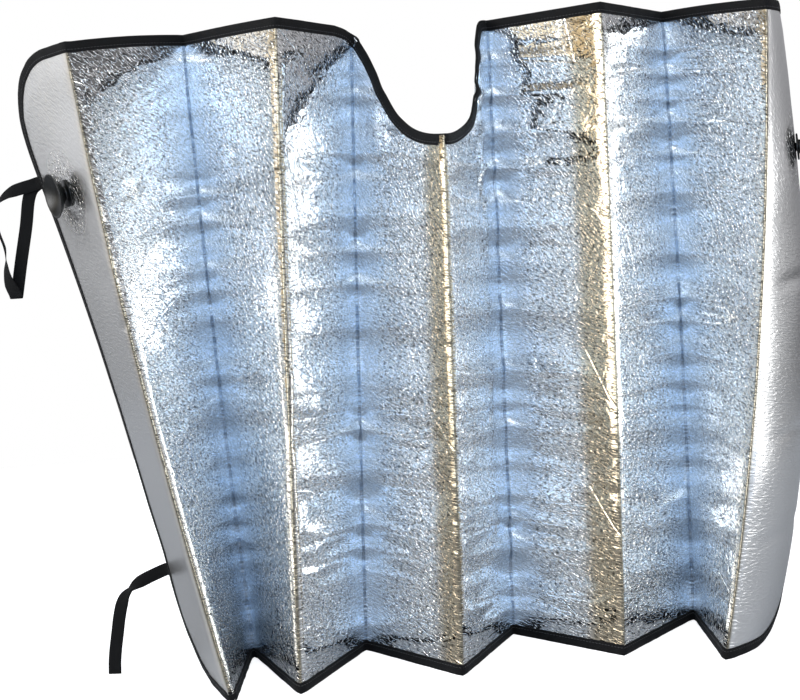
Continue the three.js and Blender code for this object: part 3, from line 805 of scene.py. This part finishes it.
STITCH_INSET = 6.2                # in from the sheet's edge
STITCH_SPACING = 3.6
STITCH_LENGTH = 2.7
THREAD_RADIUS = 0.3
THREAD_SIDES = 6
THREAD_END = 0.5                  # length of each pointed end
TAPE_FACE = 1.42                  # off the sheet's middle

polyester_thread, thread_tree = new_material("polyester_thread_twisted")
thread_map = add_node(thread_tree, "ShaderNodeTexCoord").outputs["Object"]
# The real twist is about as fine as the thread, so it shows only as a roughness
twist = add_node(thread_tree, "ShaderNodeTexNoise", {
    "Vector": thread_map, "Scale": 2500, "Detail": 2,
}).outputs[0]
thread_bump = add_node(thread_tree, "ShaderNodeBump", {
    "Height": twist, "Strength": 0.5, "Distance": 0.0001,
}).outputs[0]
thread_tint = add_node(thread_tree, "ShaderNodeMix", {
    0: twist, 6: colour("#0A0A0B"), 7: colour("#242428"),
}, data_type="RGBA").outputs[2]
thread_shader = add_node(thread_tree, "ShaderNodeBsdfPrincipled", {
    "Base Color": thread_tint, "Roughness": 0.42, "Sheen Weight": 0.2, "Normal": thread_bump,
})
add_node(thread_tree, "ShaderNodeOutputMaterial", {"Surface": thread_shader.outputs[0]})


def build_stitches():
    """Short bars of thread along one line of the tape, on its front and on its back."""
    points, faces = [], []
    for side in (1, -1):
        line = around_edge([-STITCH_INSET, -STITCH_INSET + 1], [side * TAPE_FACE] * 2)
        outwards = line[:, 1] - line[:, 0]
        path = line[:, 0]
        run = np.concatenate([[0], np.cumsum(np.linalg.norm(np.diff(path, axis=0), axis=1))])
        starts = np.arange(0, run[-1] - STITCH_LENGTH * MM, STITCH_SPACING * MM)
        first, last, out = (
            np.stack([np.interp(place, run, values[:, axis]) for axis in range(3)], axis=1)
            for place, values in ((starts, path), (starts + STITCH_LENGTH * MM, path), (starts, outwards))
        )
        out /= np.linalg.norm(out, axis=1)[:, None]
        way = last - first
        way /= np.linalg.norm(way, axis=1)[:, None]
        off = np.cross(way, out)
        for a, b, w, o, n in zip(first, last, way, out, off):
            base = len(points)
            points.append(a)
            for end in (a + w * THREAD_END * MM, b - w * THREAD_END * MM):
                for step in range(THREAD_SIDES):
                    angle = 2 * math.pi * step / THREAD_SIDES
                    points.append(end + (o * math.cos(angle) + n * math.sin(angle)) * THREAD_RADIUS * MM)
            points.append(b)
            near, far, tip = base + 1, base + 1 + THREAD_SIDES, base + 1 + 2 * THREAD_SIDES
            for step in range(THREAD_SIDES):
                beside = (step + 1) % THREAD_SIDES
                faces.append((base, near + beside, near + step))
                faces.append((near + step, near + beside, far + beside, far + step))
                faces.append((far + step, far + beside, tip))
    return mesh_piece("binding_stitches", points, faces, polyester_thread)


binding_stitches = build_stitches()
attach(binding_stitches, "shade")


# Suction cups
# Two soft vinyl cups, each moulded in one piece with a collar, a stem and a head. The head is
# pushed through a hole punched in the sheet, and the cup can turn in it.

# Half of the section: radius, and height along the cup's axis from the sheet's middle
CUP_PROFILE = (
    (0, -6.1), (4.2, -6.1), (5.9, -5.6), (6.8, -4.4), (7, -3.2), (6.8, -2.3), (4.2, -2.1),
    (4, -1.8), (4, 1.8), (4.3, 2.1), (11.9, 2.1), (12.5, 2.4), (12.5, 3.3), (12.1, 3.7),
    (7.2, 3.8), (6.6, 4.3), (6.5, 5.6), (7.4, 6.4), (10.5, 8.4), (14.3, 10.7), (17.6, 13.1),
    (19.6, 15.2), (20.4, 15.6), (20.5, 16), (20.2, 16.2), (19.5, 16.2), (18.6, 15.6),
    (16.4, 13.9), (13.5, 12), (9.5, 10), (6, 8.7), (3, 8.3), (0, 8.2),
)
CUP_SIDES = 72


def vinyl_material():
    """Injection-moulded soft vinyl: smooth and dark, with a faint bloom and fine scratches."""
    material, tree = new_material("soft_vinyl_moulded")
    place = add_node(tree, "ShaderNodeTexCoord").outputs["Object"]
    bloom = add_node(tree, "ShaderNodeTexNoise", {"Vector": place, "Scale": 180, "Detail": 4}).outputs[0]
    grain = add_node(tree, "ShaderNodeTexNoise", {"Vector": place, "Scale": 1500, "Detail": 2}).outputs[0]
    tint = add_node(tree, "ShaderNodeMix", {
        0: bloom, 6: colour("#060706"), 7: colour("#161716"),
    }, data_type="RGBA").outputs[2]
    gloss = add_node(tree, "ShaderNodeMapRange", {0: bloom, "To Min": 0.26, "To Max": 0.42}).outputs[0]
    bump = add_node(tree, "ShaderNodeBump", {"Height": grain, "Strength": 0.3, "Distance": 0.0002})
    shader = add_node(tree, "ShaderNodeBsdfPrincipled", {
        "Base Color": tint, "Roughness": gloss, "IOR": 1.53, "Normal": bump.outputs[0],
    })
    add_node(tree, "ShaderNodeOutputMaterial", {"Surface": shader.outputs[0]})
    return material


soft_vinyl = vinyl_material()


def build_cup(side):
    """A cup lathed about its own axis, on its seat on the sheet."""
    along, up = CUP_SEATS[side]
    middle, right, left, above, below = on_sheet(
        np.array([along, along + 1, along - 1, along, along]),
        np.array([up, up, up, up + 1, up - 1]), np.zeros(5),
    )
    axis = np.cross(right - left, above - below)
    turn = Vector((0, 0, 1)).rotation_difference(Vector(axis))
    points, faces = [], []
    rings = CUP_PROFILE[1:-1]
    for radius, height in rings:
        for step in range(CUP_SIDES):
            angle = 2 * math.pi * step / CUP_SIDES
            spot = Vector((radius * math.cos(angle), radius * math.sin(angle), height)) * MM
            points.append(turn @ spot + Vector(middle))
    for ring in range(len(rings) - 1):
        for step in range(CUP_SIDES):
            beside = (step + 1) % CUP_SIDES
            a, b = ring * CUP_SIDES + step, ring * CUP_SIDES + beside
            faces.append((a, b, b + CUP_SIDES, a + CUP_SIDES))
    for ring, height in ((0, CUP_PROFILE[0][1]), (len(rings) - 1, CUP_PROFILE[-1][1])):
        points.append(turn @ (Vector((0, 0, height)) * MM) + Vector(middle))
        for step in range(CUP_SIDES):
            a, b = ring * CUP_SIDES + step, ring * CUP_SIDES + (step + 1) % CUP_SIDES
            faces.append((b, a, len(points) - 1) if ring == 0 else (a, b, len(points) - 1))
    piece = mesh_piece(f"vinyl_cup_{side}", points, faces, soft_vinyl)
    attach(piece, f"{side}_cup")
    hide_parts(f"suction_cup_{side}")
    return piece


for side in CUP_SEATS:
    build_cup(side)


# Elastic loops
# Two loops of black woven elastic, their ends sewn in under the binding at the left edge. They
# go round the folded shade to keep it shut.

TAPE_WIDTH = 12
TAPE_THICKNESS = 0.8
TAPE_PLY_GAP = 0.4
TAPE_CLEARANCE = 0.75
BINDING_OUTSET = 1.3
UPPER_TAPE_HEIGHT = 486
LOWER_TAPE_HEIGHT = 96
LEFT, AWAY = (-1, 0, 0), (0, 1, 0)
edge_top, edge_foot = on_sheet(
    np.full(2, -HALF_LENGTH), np.array([UPPER_TAPE_HEIGHT, LOWER_TAPE_HEIGHT]), np.zeros(2),
)
EDGE = tuple((edge_top - edge_foot) / np.linalg.norm(edge_top - edge_foot))

# Points in millimetres from where the tape leaves the binding, with the way its width lies
UPPER_RUN = (
    (-0.7, -0.2, 0, EDGE), (-1.5, 1.2, -0.1, EDGE), (-3.6, 2.3, -0.5, EDGE),
    (-8, 2.5, -1.8, (-0.1, 0, 1)),
    (-16, 2.4, -3.7, (-0.2, 0, 1)), (-25, 2.2, -6.1, (-0.3, 0.3, 1)),
    (-33, 2, -9.5, (-0.5, 0.9, 0.7)), (-40, 2, -15, (-0.3, 1, 0.2)),
    (-44.5, 2, -23, AWAY), (-45.2, 2, -34, AWAY), (-42.5, 2, -47, AWAY), (-39, 2, -60, AWAY),
    (-38.8, 2, -72, (-0.2, 1, 0)), (-39, 2, -84, (-0.8, 1, 0)), (-37, 1.8, -95, (-1, 0.4, 0)),
    (-33, 1.4, -104, LEFT), (-32.3, 1.4, -107, LEFT), (-32.2, 2.8, -108.6, LEFT),
    (-32.1, 4.2, -107, LEFT), (-31.4, 4.2, -104, LEFT),
    (-25.3, 4.2, -75, LEFT), (-17.4, 4.2, -40, LEFT), (-12.5, 4.2, -14, (-1, 0, 0.15)),
    (-8.6, 4.5, -5.5, (-0.6, 0, 0.7)), (-2.6, 4, -1, EDGE), (0, 2.3, -0.1, EDGE),
    (0.7, 0.2, 0, EDGE),
)
LOWER_RUN = (
    (0, 0, 0, EDGE), (-2, 2, -0.5, EDGE), (-11.5, 3, -4, (-0.3, 0, 1)), (-22, 2, -8, (-0.3, 0.1, 1)),
    (-31, 0, -12, (-0.4, 0.7, 0.5)), (-37.5, -2, -16.5, (-0.15, 1, 0.1)),
    (-43, -4, -22, (-0.8, 0.8, 0.2)),
    (-46.5, -6, -30, (-1, 0.2, 0.2)), (-49.5, -9, -42, LEFT), (-52, -12, -56, LEFT),
    (-54.5, -15, -70, LEFT), (-56, -18, -82, LEFT), (-56.5, -20, -92, LEFT),
)
TAPE_STEPS = 6                    # between two points of a run
BEND_STEPS = 6                    # round the bend of the doubled loop
# The tape's section: across its width and through it, as shares of each
TAPE_SECTION = (
    (-0.5, -0.15), (-0.47, -0.42), (-0.3, -0.5), (0, -0.5), (0.3, -0.5), (0.47, -0.42),
    (0.5, -0.15), (0.5, 0.15), (0.47, 0.42), (0.3, 0.5), (0, 0.5), (-0.3, 0.5), (-0.47, 0.42),
    (-0.5, 0.15),
)


def centripetal_curve(points, steps):
    """Points and directions of a centripetal Catmull-Rom curve, evenly many for each stretch."""
    points = np.array(points, float)
    before_first = 2 * points[0] - points[1]
    after_last = 2 * points[-1] - points[-2]
    full = np.vstack([before_first, points, after_last])
    places, ways = [], []
    for index in range(len(points) - 1):
        p = full[index:index + 4]
        gap = [max(np.linalg.norm(p[k + 1] - p[k]) ** 0.5, 1e-4) for k in range(3)]
        here, there = p[1], p[2]
        pull_in = (here - p[0]) / gap[0] - (there - p[0]) / (gap[0] + gap[1]) + (there - here) / gap[1]
        pull_out = (there - here) / gap[1] - (p[3] - here) / (gap[1] + gap[2]) + (p[3] - there) / gap[2]
        pull_in, pull_out = pull_in * gap[1], pull_out * gap[1]
        last = index == len(points) - 2
        for t in np.arange(steps + (1 if last else 0)) / steps:
            a = 2 * here - 2 * there + pull_in + pull_out
            b = 3 * there - 3 * here - 2 * pull_in - pull_out
            places.append(a * t ** 3 + b * t ** 2 + pull_in * t + here)
            way = 3 * a * t ** 2 + 2 * b * t + pull_in
            ways.append(way / np.linalg.norm(way))
    return np.array(places), np.array(ways)


def tape_places(height, run):
    """The tape's middle, its width's and its thickness's directions, all along a run."""
    origin = on_sheet(np.array([-HALF_LENGTH - BINDING_OUTSET - TAPE_CLEARANCE]),
                      np.array([height]), np.zeros(1))[0] / MM
    middle, along = centripetal_curve([point[:3] for point in run], TAPE_STEPS)
    lay = np.array([point[3] for point in run], float)
    place = np.arange(len(middle)) / TAPE_STEPS
    before = np.minimum(place.astype(int), len(run) - 2)
    part = (place - before)[:, None]
    width = lay[before] * (1 - part) + lay[before + 1] * part
    width -= along * np.sum(width * along, axis=1)[:, None]
    width /= np.linalg.norm(width, axis=1)[:, None]
    return middle + origin, width, np.cross(along, width)


def folded_back(middle, width, off):
    """Out along one ply and back along the other, from the middle between them."""
    apart = (TAPE_THICKNESS + TAPE_PLY_GAP) / 2
    bends = []
    for angle in np.linspace(0, math.pi, BEND_STEPS + 1)[1:-1]:
        onwards = np.cross(width[-1], off[-1])
        way = off[-1] * math.cos(angle) + onwards * math.sin(angle)
        bends.append((middle[-1] + way * apart, width[-1], way))
    bent = [np.array(part) for part in zip(*bends)]
    return (
        np.vstack([middle + off * apart, bent[0], (middle - off * apart)[::-1]]),
        np.vstack([width, bent[1], width[::-1]]),
        np.vstack([off, bent[2], -off[::-1]]),
    )


woven_elastic = woven_material("elastic_tape_woven", 1.0, "#030304", "#0B0B0D", 0.7)


def build_tape(name, places, node):
    """A band of elastic swept along its places, with closed ends."""
    middle, width, off = places
    across_share, through_share = (np.array(part) for part in zip(*TAPE_SECTION))
    points = (
        middle[:, None] + width[:, None] * across_share[None, :, None] * TAPE_WIDTH
        + off[:, None] * through_share[None, :, None] * TAPE_THICKNESS
    ) * MM
    count, section = points.shape[:2]
    faces = []
    for step in range(count - 1):
        for part in range(section):
            beside = (part + 1) % section
            a, b = step * section + part, step * section + beside
            faces.append((a, b, b + section, a + section))
    faces.append(tuple(range(section))[::-1])
    faces.append(tuple((count - 1) * section + part for part in range(section)))
    piece = mesh_piece(name, points.reshape(-1, 3), faces, woven_elastic)
    run = np.concatenate([[0], np.cumsum(np.linalg.norm(np.diff(middle, axis=0), axis=1))]) * MM
    flat = np.stack(np.broadcast_arrays(run[:, None], across_share[None, :] * TAPE_WIDTH * MM), axis=-1)
    face_maps(piece, flat.reshape(-1, 2))
    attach(piece, "shade")
    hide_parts(node)
    return piece


build_tape("elastic_upper", tape_places(UPPER_TAPE_HEIGHT, UPPER_RUN), "elastic_loop_upper")
build_tape("elastic_lower", folded_back(*tape_places(LOWER_TAPE_HEIGHT, LOWER_RUN)), "elastic_loop_lower")
